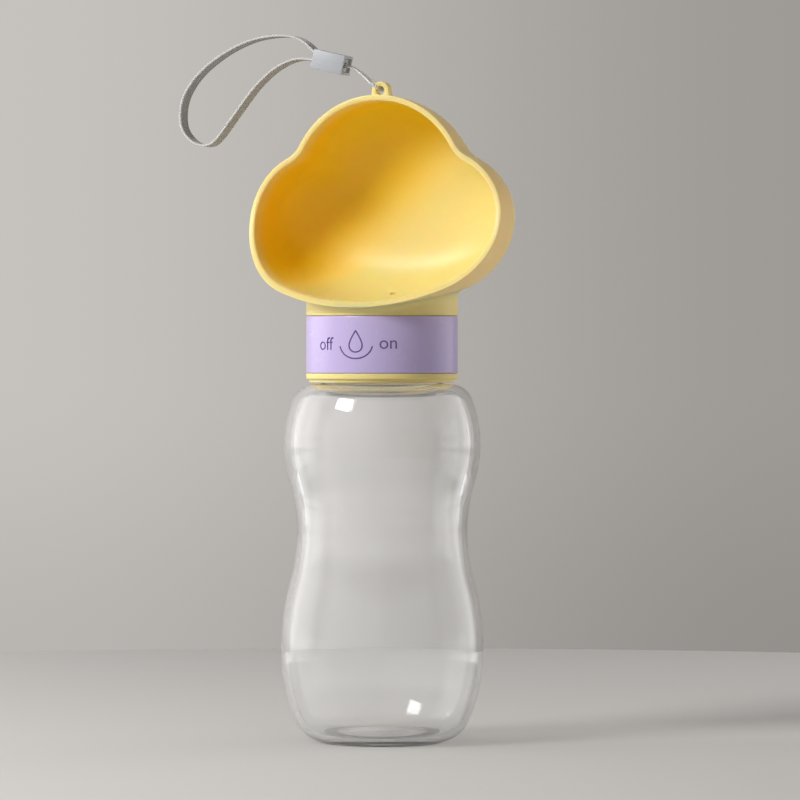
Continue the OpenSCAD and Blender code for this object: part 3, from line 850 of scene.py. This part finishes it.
FRONT = -90
WORD_SIZE, WORD_DEPTH, LINE_R = 6.6, 0.35, 0.28


def word(text, angle, height):
    none_chosen()
    bpy.ops.object.text_add()
    letters = bpy.context.object
    letters.data.body = text
    letters.data.size = WORD_SIZE * mm
    letters.data.extrude = WORD_DEPTH * mm
    letters.data.resolution_u = 6
    letters.data.align_x = "CENTER"
    letters.rotation_euler = (math.pi / 2, 0, 0)
    letters.location = (0, 0, height * mm)
    only(letters)
    bpy.ops.object.convert(target="MESH")
    settle(letters, text)
    tidy_mesh(letters)
    return wrap(letters, angle)


def groove(name, height, points, closed):
    """A round-bottomed cutter along a curve; points are (place, before, after)."""
    none_chosen()
    bpy.ops.curve.primitive_bezier_curve_add(rotation=(math.pi / 2, 0, 0))
    line = bpy.context.object
    line.data.splines[0].bezier_points.add(len(points) - 2)
    for p, (place, before, after) in zip(line.data.splines[0].bezier_points, points):
        p.handle_left_type = p.handle_right_type = "FREE"
        p.co, p.handle_left, p.handle_right = (
            Vector((x * mm, z * mm, 0)) for x, z in (place, before, after)
        )
    line.data.splines[0].use_cyclic_u = closed
    line.data.bevel_depth, line.data.bevel_resolution = LINE_R * mm, 3
    line.data.resolution_u, line.data.use_fill_caps = 14, True
    only(line)
    bpy.ops.object.convert(target="MESH")
    line.location.z = height * mm
    settle(line, name)
    return tidy_mesh(line)


DROP = [
    ((0, 5.0), (-0.5, 4.2), (0.5, 4.2)),
    ((2.5, -0.3), (2.5, 1.3), (2.5, -1.7)),
    ((0, -2.7), (1.4, -2.7), (-1.4, -2.7)),
    ((-2.5, -0.3), (-2.5, -1.7), (-2.5, 1.3)),
]
BOWL_LINE = [
    ((-6.2, -0.6), (-6.2, 0.4), (-5.6, -3.2)),
    ((0, -5.0), (-3.2, -5.0), (3.2, -5.0)),
    ((6.2, -0.6), (5.6, -3.2), (6.2, 0.4)),
]
MARK_Z = (RING_Z + RING_TOP) / 2
cut(
    ring,
    word("off", FRONT - 27, MARK_Z - 1.9),
    word("on", FRONT + 25, MARK_Z - 1.5),
    wrap(groove("drop", MARK_Z, DROP, True), FRONT),
    wrap(groove("bowl_line", MARK_Z, BOWL_LINE, False), FRONT),
    own_crossings=True,
)
KEY_R, KEY_Z, KEY_SIZE = 24.75, 147.7, (2.2, 5, 3)
keys = []
for k in range(4):
    a = math.tau * (k + 0.5) / 4
    middle = (KEY_R * math.cos(a), KEY_R * math.sin(a), KEY_Z)
    keys.append(block("key", middle, KEY_SIZE, a))
ring = joined(soften(ring, 30), *keys)
print("ring mended:", ring.data.validate())
tell(ring)
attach(ring, "ring")
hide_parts("switch_ring")

# %% [markdown]
# ## Scoop
# The bowl is a deep shell with three lobes and a lip that juts forward at
# the bottom. Its rim is a chain of arcs; towards the back every section is
# the same outline drawn in to one point, first hardly at all and then
# quickly, which gives straight walls and a round back. It is pulled ring by
# ring from one circle, down the outside, over the rim and up the inside.

# %% Rim of the scoop
TOP_ARC, HOLLOW_ARC, SIDE_ARC, LOW_ARC = 33.9, 11, 25.5, 28
SIDE_RISE, WIDE = 31.9, 48.4
SIDE_Z, TOP_Z, BACK_Z = LIP_Z + SIDE_RISE, LIP_Z + 43.3, LIP_Z + 34.5
CROWN_Z = TOP_Z + TOP_ARC
FLOOR_ARC = ((WIDE - LOW_ARC) ** 2 + SIDE_RISE**2 - LOW_ARC**2) / (2 * (SIDE_RISE - LOW_ARC))
UPPER_RIM_Y, LIP_OUT, LEAN_Z, LEAN = -6.2, 24.6, 49.5, 2.3
BACK_Y, BACK_LEAN = 26, 10


def rim_points(t):
    """The rim set off inwards by t: round one half, then its mirror image."""
    side_c, low_c = Vector((WIDE - SIDE_ARC, SIDE_Z)), Vector((WIDE - LOW_ARC, SIDE_Z))
    top_c = Vector((0, TOP_Z))
    floor_c = Vector((0, LIP_Z + FLOOR_ARC))
    apart = (side_c - top_c).length
    to_hollow, from_side = TOP_ARC + HOLLOW_ARC, SIDE_ARC + HOLLOW_ARC
    along = (to_hollow**2 - from_side**2 + apart**2) / (2 * apart)
    aside = math.sqrt(to_hollow**2 - along**2)
    unit = (side_c - top_c) / apart
    hollow = top_c + unit * along + Vector((-unit.y, unit.x)) * aside
    to_top = math.atan2(hollow.y - top_c.y, hollow.x - top_c.x)
    to_side = math.atan2(hollow.y - side_c.y, hollow.x - side_c.x)
    to_low = math.atan2(low_c.y - floor_c.y, low_c.x - floor_c.x)
    half = []
    for c, r, a, b, n in (
        (top_c, TOP_ARC - t, math.pi / 2, to_top, 20),
        (hollow, HOLLOW_ARC + t, to_top + math.pi, to_side + math.pi, 10),
        (side_c, SIDE_ARC - t, to_side, 0, 16),
        (low_c, LOW_ARC - t, 0, to_low, 16),
        (floor_c, FLOOR_ARC - t, to_low, -math.pi / 2, 14),
    ):
        half += arc(c, r, a, b, n)[:-1]
    half.append((0, LIP_Z + t))
    return half + [(-x, z) for x, z in reversed(half[1:-1])]


def rim_y(z):
    """How far back the rim stands at a height; it leans out to the lip."""
    return UPPER_RIM_Y - LIP_OUT * max(0, (LIP_Z + LEAN_Z - z) / LEAN_Z) ** LEAN


def back_y(z, t):
    far = max(0, (z - SIDE_Z) / (CROWN_Z - SIDE_Z))
    return BACK_Y - BACK_LEAN * far * far - t


def section(t, angle, forward=0.0):
    """One ring of the bowl: angle 0 is the rim, a quarter turn is the back's tip."""
    s, g = math.sqrt(max(0, math.cos(angle))), math.sqrt(math.sin(angle))
    out = []
    for x, z in rim_points(t):
        high = BACK_Z + (z - BACK_Z) * s
        y = rim_y(z) + (back_y(high, t) - rim_y(z)) * g - forward
        out.append(Vector((x * s, y, high)) * mm)
    return out


print("scoop", 2 * WIDE, "mm wide, crown", round(CROWN_Z, 1), "mm up")


# %% Pull the shell ring by ring
def close_end(piece, tip):
    """Draw the chosen open edge together in one point."""
    bpy.ops.mesh.extrude_edges_move()
    bpy.ops.mesh.merge(type="CENTER")
    bm = bmesh.from_edit_mesh(piece.data)
    for v in bm.verts:
        if v.select:
            v.co = tip
    bmesh.update_edit_mesh(piece.data)


def pulled(name, rings, first_tip, last_tip):
    """Extrude one circle through a list of rings, and close both ends."""
    count = len(rings[0])
    none_chosen()
    bpy.ops.mesh.primitive_circle_add(vertices=count, radius=0.01)
    piece = bpy.context.object
    piece.name = piece.data.name = name
    bpy.ops.object.mode_set(mode="EDIT")
    bm = bmesh.from_edit_mesh(piece.data)
    mark = bm.verts.layers.int.new("station")
    bm.verts.ensure_lookup_table()
    for i, v in enumerate(bm.verts):
        v[mark], v.co = i, rings[0][i]
    for ring_points in rings[1:]:
        bpy.ops.mesh.extrude_edges_move()
        bm = bmesh.from_edit_mesh(piece.data)
        mark = bm.verts.layers.int["station"]
        for v in bm.verts:
            if v.select:
                v.co = ring_points[v[mark]]
    close_end(piece, last_tip)
    bm = bmesh.from_edit_mesh(piece.data)
    bm.verts.ensure_lookup_table()
    for part in (*bm.faces, *bm.edges):
        part.select = False
    for v in bm.verts:
        v.select = v.index < count
    bm.select_flush_mode()
    for e in bm.edges:
        e.select = all(v.index < count for v in e.verts)
    close_end(piece, first_tip)
    bpy.ops.object.mode_set(mode="OBJECT")
    return tidy_mesh(piece, 2e-6)


def levels(count):
    return [math.pi / 2 * k / count for k in range(1, count)]


WALL, SHELL_LEVELS, FORM_LEVELS = 2.1, 22, 14
outer = [section(0, a) for a in reversed(levels(SHELL_LEVELS))]
inner = [section(WALL, a) for a in levels(SHELL_LEVELS)]
ROUND_RIM = [
    (0, -0.55), (0.04, -0.25), (0.16, -0.06), (0.4, 0),
    (WALL - 0.55, 0), (WALL - 0.3, -0.05), (WALL - 0.08, -0.22), (WALL, -0.5),
]
rim = [section(t, 0, forward) for t, forward in ROUND_RIM]


def back_tip(t):
    return Vector((0, back_y(BACK_Z, t), BACK_Z)) * mm


scoop = pulled("yellow_scoop", outer + rim + inner, back_tip(0), back_tip(WALL))
tell(scoop)

# %% [markdown]
# Inside the bowl the colour deepens behind the rim as a painted shade, for
# the light that bounces round the bowl, so each point gets its depth: 0
# outside and at the rim, and 1 from 10 mm behind the rim inwards. A point is
# inside if it faces the bowl's middle.

# %% How deep each point of the scoop lies
SHALLOW, DEEPENS_OVER = 1.0, 9
BOWL_MIDDLE = Vector((0, -10 * mm, BACK_Z * mm))
depth = scoop.data.attributes.new("depth", "FLOAT", "POINT")
for v in scoop.data.vertices:
    behind = v.co.y / mm - rim_y(v.co.z / mm)
    facing = v.normal.dot(BOWL_MIDDLE - v.co) > 0
    # how much painted shade deepens the bowl's colour at this point
    painted_depth_shade = min(1, max(0, (behind - SHALLOW) / DEEPENS_OVER))
    depth.data[v.index].value = painted_depth_shade if facing else 0.0
print("points inside:", sum(d.value > 0 for d in depth.data))

# %% [markdown]
# The neck under the bowl is a round skirt that stands on the ring and rounds
# in behind the bowl. The spout is a short tube at the outlet. What would
# stick into the bowl is cut away with the bowl's own form.

# %% Skirt, spout and the bowl's form
SKIRT_BORE, SKIRT_ROUND, SKIRT_ROUND_IN = 25.36, 12, 9.86
SKIRT_MIDDLE = (HEAD_R - SKIRT_ROUND, LIP_Z + 8)
SPOUT_R, SPOUT_Z, SPOUT_TOP = 3.7, 153.0, 166.0
quarter = math.pi / 2
neck_line = (
    [(SKIRT_BORE, SCOOP_Z), (HEAD_R - 0.3, SCOOP_Z), (HEAD_R, SCOOP_Z + 0.3)]
    + arc(SKIRT_MIDDLE, SKIRT_ROUND, 0, quarter, 12)
    + [(SKIRT_MIDDLE[0], LIP_Z + 17.9)]
    + list(reversed(arc(SKIRT_MIDDLE, SKIRT_ROUND_IN, 0, quarter, 12)))
    + [(SKIRT_BORE, LIP_Z + 7.8)]
)
neck = revolve("neck", neck_line)
spout = revolve("spout", tube(PORT_R, SPOUT_R, SPOUT_Z, SPOUT_TOP), 40)
only(spout)
spout.location.y = PORT_Y * mm
settle(spout, "spout")


def bowl_form(t=WALL / 2, forward=20):
    """The room inside the bowl with half its wall, as a solid to cut with."""
    front = section(t, 0, forward)
    rings = [section(t, a) for a in reversed(levels(FORM_LEVELS))] + [section(t, 0), front]
    return pulled("form", rings, back_tip(t), sum(front, Vector()) / len(front))


tell(neck)

# %% [markdown]
# Where the skirt meets the bowl, a hollow curve softens the corner. Small
# sections, set by the height of the bowl's underside at each step round, are
# joined into a band. The underside has no plain formula, so `under_z` starts
# from a guess and betters it four times. The band stays below the height
# where the skirt rounds in, because above it the curve would stand free.


# %% Fillet under the bowl
FILLET_OUT, FILLET_HIGH, FILLET_LIMIT = 3.0, 3.2, LIP_Z + 7.4
FADE_END, FADE_OVER = 0.65, 0.45


def under_z(x, y, s=1.0, rounds=4):
    """Height of the scoop's underside over a place near its floor, in mm."""
    low = LIP_Z + FLOOR_ARC - math.sqrt(FLOOR_ARC**2 - (x / s) ** 2)
    g = min(0.98, max(0, (y - rim_y(low)) / (BACK_Y - rim_y(low))))
    if rounds == 0:
        return BACK_Z + (low - BACK_Z) * s
    return under_z(x, y, (1 - g**4) ** 0.25, rounds - 1)


def fillet_section(a):
    r, c, d = HEAD_R, math.cos(a), math.sin(a)
    w = FILLET_OUT * min(1, max(0, (FADE_END - d) / FADE_OVER))
    joint, far = (min(under_z(q * c, q * d), FILLET_LIMIT) for q in (r, r + w))
    foot = joint - min(FILLET_HIGH, joint - SCOOP_Z - 0.6)
    low, mid, high = Vector((r - 0.05, foot)), Vector((r - 0.05, joint)), Vector((r + w, far + 0.3))
    curve = [
        low * (1 - q) ** 2 + mid * 2 * q * (1 - q) + high * q * q for q in (k / 8 for k in range(9))
    ]
    line = [Vector((r - 0.7, foot)), *curve, Vector((r - 0.7, max(joint, far) + 0.8))]
    return [Vector((p.x * c, p.x * d, p.y)) * mm for p in line]


bm = bmesh.new()
sections = [
    [bm.verts.new(p) for p in fillet_section(math.tau * k / STEPS)] for k in range(STEPS)
]
for k, one in enumerate(sections):
    two = sections[(k + 1) % STEPS]
    for i in range(len(one)):
        n = (i + 1) % len(one)
        bm.faces.new((one[i], one[n], two[n], two[i]))
cut(neck, from_faces("fillet", bm), how="UNION")
cut(neck, bowl_form())
cut(spout, bowl_form())
OUTLET_R = 1.4
cut(scoop, port_tool(OUTLET_R, 156, 170, 32))


# %% [markdown]
# The eye for the strap is a rounded tab on the crown with a hole through it.
# A circle for the hole is pulled out to the tab's outline, the flat ring is
# given its thickness, and a bevel takes the edges off.


# %% Strap eye
EYE_R, EYE_HOLE, EYE_HALF = 3.25, 1.6, 2
FOOT_OUT, FOOT_FROM = 0.9, 3


def eye_outline(a):
    """Round above, with a wider foot below."""
    x, z = EYE_R * math.cos(a), EYE_R * math.sin(a)
    if z < 0:
        wider = math.copysign(EYE_R + FOOT_OUT * min(1, -z / FOOT_FROM) ** 2, x)
        x = wider if -z < FOOT_FROM else x * 1.3
        z *= 1.1
    return Vector((x * mm, -EYE_HALF * mm, (EYE_Z + z) * mm))


none_chosen()
bpy.ops.mesh.primitive_circle_add(
    vertices=48,
    radius=EYE_HOLE * mm,
    location=(0, -EYE_HALF * mm, EYE_Z * mm),
    rotation=(math.pi / 2, 0, 0),
)
eye = settle(bpy.context.object, "eye")
bpy.ops.object.mode_set(mode="EDIT")
bpy.ops.mesh.select_all(action="SELECT")
bpy.ops.mesh.extrude_edges_move()
bm = bmesh.from_edit_mesh(eye.data)
for v in bm.verts:
    if v.select:
        v.co = eye_outline(math.atan2(v.co.z - EYE_Z * mm, v.co.x))
bmesh.update_edit_mesh(eye.data)
bpy.ops.mesh.select_all(action="SELECT")
bpy.ops.mesh.extrude_region_move(TRANSFORM_OT_translate={"value": (0, 2 * EYE_HALF * mm, 0)})
bpy.ops.object.mode_set(mode="OBJECT")
bevelled(tidy_mesh(eye), 0.55, 4, 40)
scoop = joined(soften(scoop), soften(neck), soften(spout), soften(eye, 50))
tell(scoop)
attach(scoop, "head")
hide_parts("bowl")

# %% [markdown]
# ## Clamp
# The clamp is moulded in two halves that close on the band and the cord.
# Each half is a box that is hollowed from its inner side, with a small round
# on its edges. One hollow takes the band's ends, a narrow channel takes the
# cord, and a shallow pocket round the cord's mouth stays in shadow.


# %% Clamp halves
CLAMP_LONG, CLAMP_DEEP, CLAMP_HIGH = 12.4, 8.7, 7.1
CLAMP_X, CLAMP_ABOVE_EYE, CLAMP_TILT = -19.5, 10.6, 13
HOLLOWS = [(-2.7, 9.0, 7.3, 6.0), (5.0, 8.0, 3.2, 1.8), (6.2, 2.0, 6.6, 5.0)]


def clamp_piece(name, side):
    middle = (0, side * CLAMP_DEEP / 4, 0)
    half = block(name, middle, (CLAMP_LONG, CLAMP_DEEP / 2, CLAMP_HIGH))
    cut(half, *[block("hollow", (x, 0, 0), size) for x, *size in HOLLOWS])
    bevelled(half, 0.32, 3, 30)
    half.rotation_euler = (0, math.radians(CLAMP_TILT), 0)
    half.location = (CLAMP_X * mm, 0, (EYE_Z + CLAMP_ABOVE_EYE) * mm)
    return soften(settle(half, name))


for name, side in (("clamp_front", -1), ("clamp_back", 1)):
    half = clamp_piece(name, side)
    tell(half)
    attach(half, "strap")
    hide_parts("strap_" + name)

# %% [markdown]
# ## Finishes
# Each finish starts from the colour of its material in flat light. Fine
# grain goes into roughness and a very low bump, in real sizes, so that close
# views hold up and far ones stay clean.
#
# The yellow is milky, and light comes out of it deeper in colour, above all
# inside the bowl. Subsurface light does part of that, and painted light does
# the rest: a painted shade of deep orange at the upper left, where the rim
# shades the bowl, and painted light of pale yellow at the lower right. The
# marks take a darker purple as painted shade in their recess, wherever a
# point lies below the ring's surface.


# %% Moulded plastics
GRAIN, GRAIN_DEPTH, UNEVEN = 1800, 0.004, 0.02
SLANT, SLANT_FADE = 0.203, (-0.012, 0.026)
MARK_LOW, MARK_DEEP, MARK_HALF = 0.06, 0.5, 6.2


def moulded(name, colour, deeper, rough, inner=None, sunk=None, **more):
    """A moulded plastic; inner is the bowl's painted shade and painted light, sunk is the marks'
    painted shade.
    """
    made = Finish(name)
    here = made.here()
    base = made.mix(made.noise(here, 22), colour, deeper)
    if inner:
        # painted shade inside the bowl: the deeper a point lies, the more it takes of
        inside = made.node("ShaderNodeAttribute", {"attribute_name": "depth"}, out=2)
        # a painted shade of deep orange at the upper left and painted light of pale yellow at the
        # lower right
        x, _, z = made.parts(here)
        painted_light_side = (x - z + SLANT).ramp(*SLANT_FADE)
        base = made.mix(inside, base, made.mix(painted_light_side, *inner))
    if sunk:
        # painted shade in the sunk marks: a darker purple below the ring's surface
        x, y, z = made.parts(here)
        below = HEAD_R * mm - (x * x + y * y).root()
        face = below.over(MARK_LOW * mm) * (MARK_DEEP * mm - below).over(0)
        middle = (MARK_HALF * mm - (z - MARK_Z * mm).size()).over(0)
        base = made.mix(face * middle, base, sunk)
    fine = made.noise(here, GRAIN, 3, 0.6)
    scuff = made.noise(here, 140, 4, 0.65)
    made.surface(
        Base_Color=base,
        Roughness=rough + (scuff - 0.5) * UNEVEN + (fine - 0.5) * UNEVEN,
        Normal=made.bump(fine, GRAIN_DEPTH * mm, 0.6),
        **more,
    )


# inner: the bowl's painted shade (deep orange) and painted light (pale yellow)
moulded(
    "yellow_plastic",
    srgb(248, 224, 152),
    srgb(246, 219, 144),
    0.4,
    inner=(srgb(255, 208, 30), srgb(238, 221, 142)),
    Specular_IOR_Level=0.38,
    Subsurface_Weight=0.5,
    Subsurface_Radius=(1.0, 0.5, 0.12),
    Subsurface_Scale=3.5 * mm,
)
# sunk: the painted shade of the marks' recesses
moulded(
    "purple_plastic", srgb(196, 181, 224), srgb(191, 174, 220), 0.27, sunk=srgb(112, 84, 152)
)
moulded("clamp_grey", srgb(181, 184, 188), srgb(176, 179, 184), 0.42)
moulded("white_plastic", srgb(238, 237, 232), srgb(234, 233, 228), 0.4)
moulded("white_silicone", srgb(236, 235, 230), srgb(231, 230, 224), 0.55)
moulded("seal_rubber", srgb(44, 43, 46), srgb(36, 36, 39), 0.6)
print("finishes so far:", list(FINISHES))

# %% [markdown]
# The clear plastic is smooth and faintly hazy. Its foot and the edge of the
# hollow under it are painted dark, a painted contact shadow under the base.
# Above the foot it lets shadow rays and diffuse rays straight through,
# because a traced shadow of a clear wall comes out too dark.

# %% Clear plastic
PUNT_IN, PUNT_OUT, PUNT_TOP = 16.2, 17.4, 1.0
FOOT_SHADOW_PAINT_TOP, SHADOWLESS_FROM = 0.2, 0.3
clear = Finish("clear_bottle")
here = clear.here()
x, y, z = clear.parts(here)
off_axis = (x * x + y * y).root()
edge_of_punt = off_axis.over(PUNT_IN * mm) * (PUNT_OUT * mm - off_axis).over(0)
# painted contact shadow at the edge of the hollow under the base
painted_punt_shadow = edge_of_punt * (PUNT_TOP * mm - z).over(0)
# painted contact shadow on the foot, where it meets the floor
foot = (FOOT_SHADOW_PAINT_TOP * mm - z).over(0)
wave = clear.noise(here, 60)
haze = clear.noise(here, 420, 4, 0.6)
clear.surface(
    # the near-black colour is painted shadow, not a tint of the plastic
    Base_Color=clear.mix(painted_punt_shadow.maths("MAXIMUM", foot), WHITE, srgb(22, 21, 21)),
    Roughness=0.002 + haze * 0.004,
    IOR=1.47,
    Transmission_Weight=0.94,
    Normal=clear.bump(wave, 0.02 * mm, 0.04),
)
let_through = clear.ray("Is Shadow Ray").maths("MAXIMUM", clear.ray("Is Diffuse Ray"))
clear.instead(
    let_through * z.over(SHADOWLESS_FROM * mm),
    clear.node("ShaderNodeBsdfTransparent", inputs={"Color": srgb(240, 240, 240)}),
)
print("nodes in the clear plastic:", len(clear.tree.nodes))

# %% [markdown]
# The hidden screw and washer are brushed steel: fine noise in the roughness.

# %% Steel
steel = Finish("screw_steel")
brushed = steel.noise(steel.here(), 3000, 3)
steel.surface(Base_Color=srgb(196, 197, 200), Metallic=1.0, Roughness=0.26 + brushed * 0.14)
print("nodes in the steel:", len(steel.tree.nodes))

# %% [markdown]
# The band is a plain weave with a lighter selvage. Two sine waves in the
# band's own UV, one along it and one across, make the little squares of the
# weave; their product lifts every second thread. Across goes from 0 to 1
# once round the band, so the selvages lie at 0 and 0.5.

# %% Woven band
PICK, THREADS_ROUND, SELVAGE_FROM = 0.7, 24, 0.76
weave = Finish("webbing_grey")
along, across, _ = weave.parts(weave.own_uv())
warp = (along * (math.tau / PICK)).sine()
weft = (across * (math.tau * THREADS_ROUND)).sine()
thread = warp * weft
selvage = ((across * 2 - 1).size() * 2 - 1).size().over(SELVAGE_FROM)
shade = weave.mix(thread * 0.5 + 0.5, srgb(138, 134, 128), srgb(154, 150, 144))
weave.surface(
    Base_Color=weave.mix(selvage, shade, srgb(210, 209, 206)),
    Roughness=0.78,
    Normal=weave.bump(thread, 0.035 * mm, 0.6),
    Sheen_Weight=0.25,
    Specular_IOR_Level=0.3,
)
print("nodes in the weave:", len(weave.tree.nodes))

# %% [markdown]
# The cord's strands slant, so one wave runs along it and round it at once.

# %% Pale cord
STRAND = 0.9
twist = Finish("cord_white")
along, round_it, _ = twist.parts(twist.own_uv())
strand = ((along * (1 / STRAND) + round_it * 2) * math.tau).sine()
twist.surface(
    Base_Color=twist.mix(strand * 0.5 + 0.5, srgb(176, 176, 174), srgb(232, 232, 230)),
    Roughness=0.5,
    Normal=twist.bump(strand, 0.08 * mm, 0.8),
)
print("nodes in the cord:", len(twist.tree.nodes))

# %% [markdown]
# ## Give every piece its finish
# The finishes are named after the measured model's slots. The pieces that
# stay hidden inside the head keep that model's own shape and take a finish
# in their material slot.


# %% Finishes on pieces
def wear(piece, finish):
    if piece.data.materials:
        for i in range(len(piece.data.materials)):
            piece.data.materials[i] = finish
    else:
        piece.data.materials.append(finish)


SLOT_OF_PIECE = {
    "woven_band": "webbing_grey",
    "thin_cord": "cord_white",
    "clear_bottle": "clear_bottle",
    "yellow_cap": "yellow_plastic",
    "purple_ring": "purple_plastic",
    "yellow_scoop": "yellow_plastic",
    "clamp_front": "clamp_grey",
    "clamp_back": "clamp_grey",
}
slots = {s["node"]: s["material_slot"] for s in frame["record"]["subparts"]}
for node, piece in frame["nodes"].items():
    wear(piece, FINISHES[slots[node]])
for name, slot in SLOT_OF_PIECE.items():
    wear(bpy.data.objects[name], FINISHES[slot])
print("new pieces:", len(SLOT_OF_PIECE), "measured pieces:", len(slots))
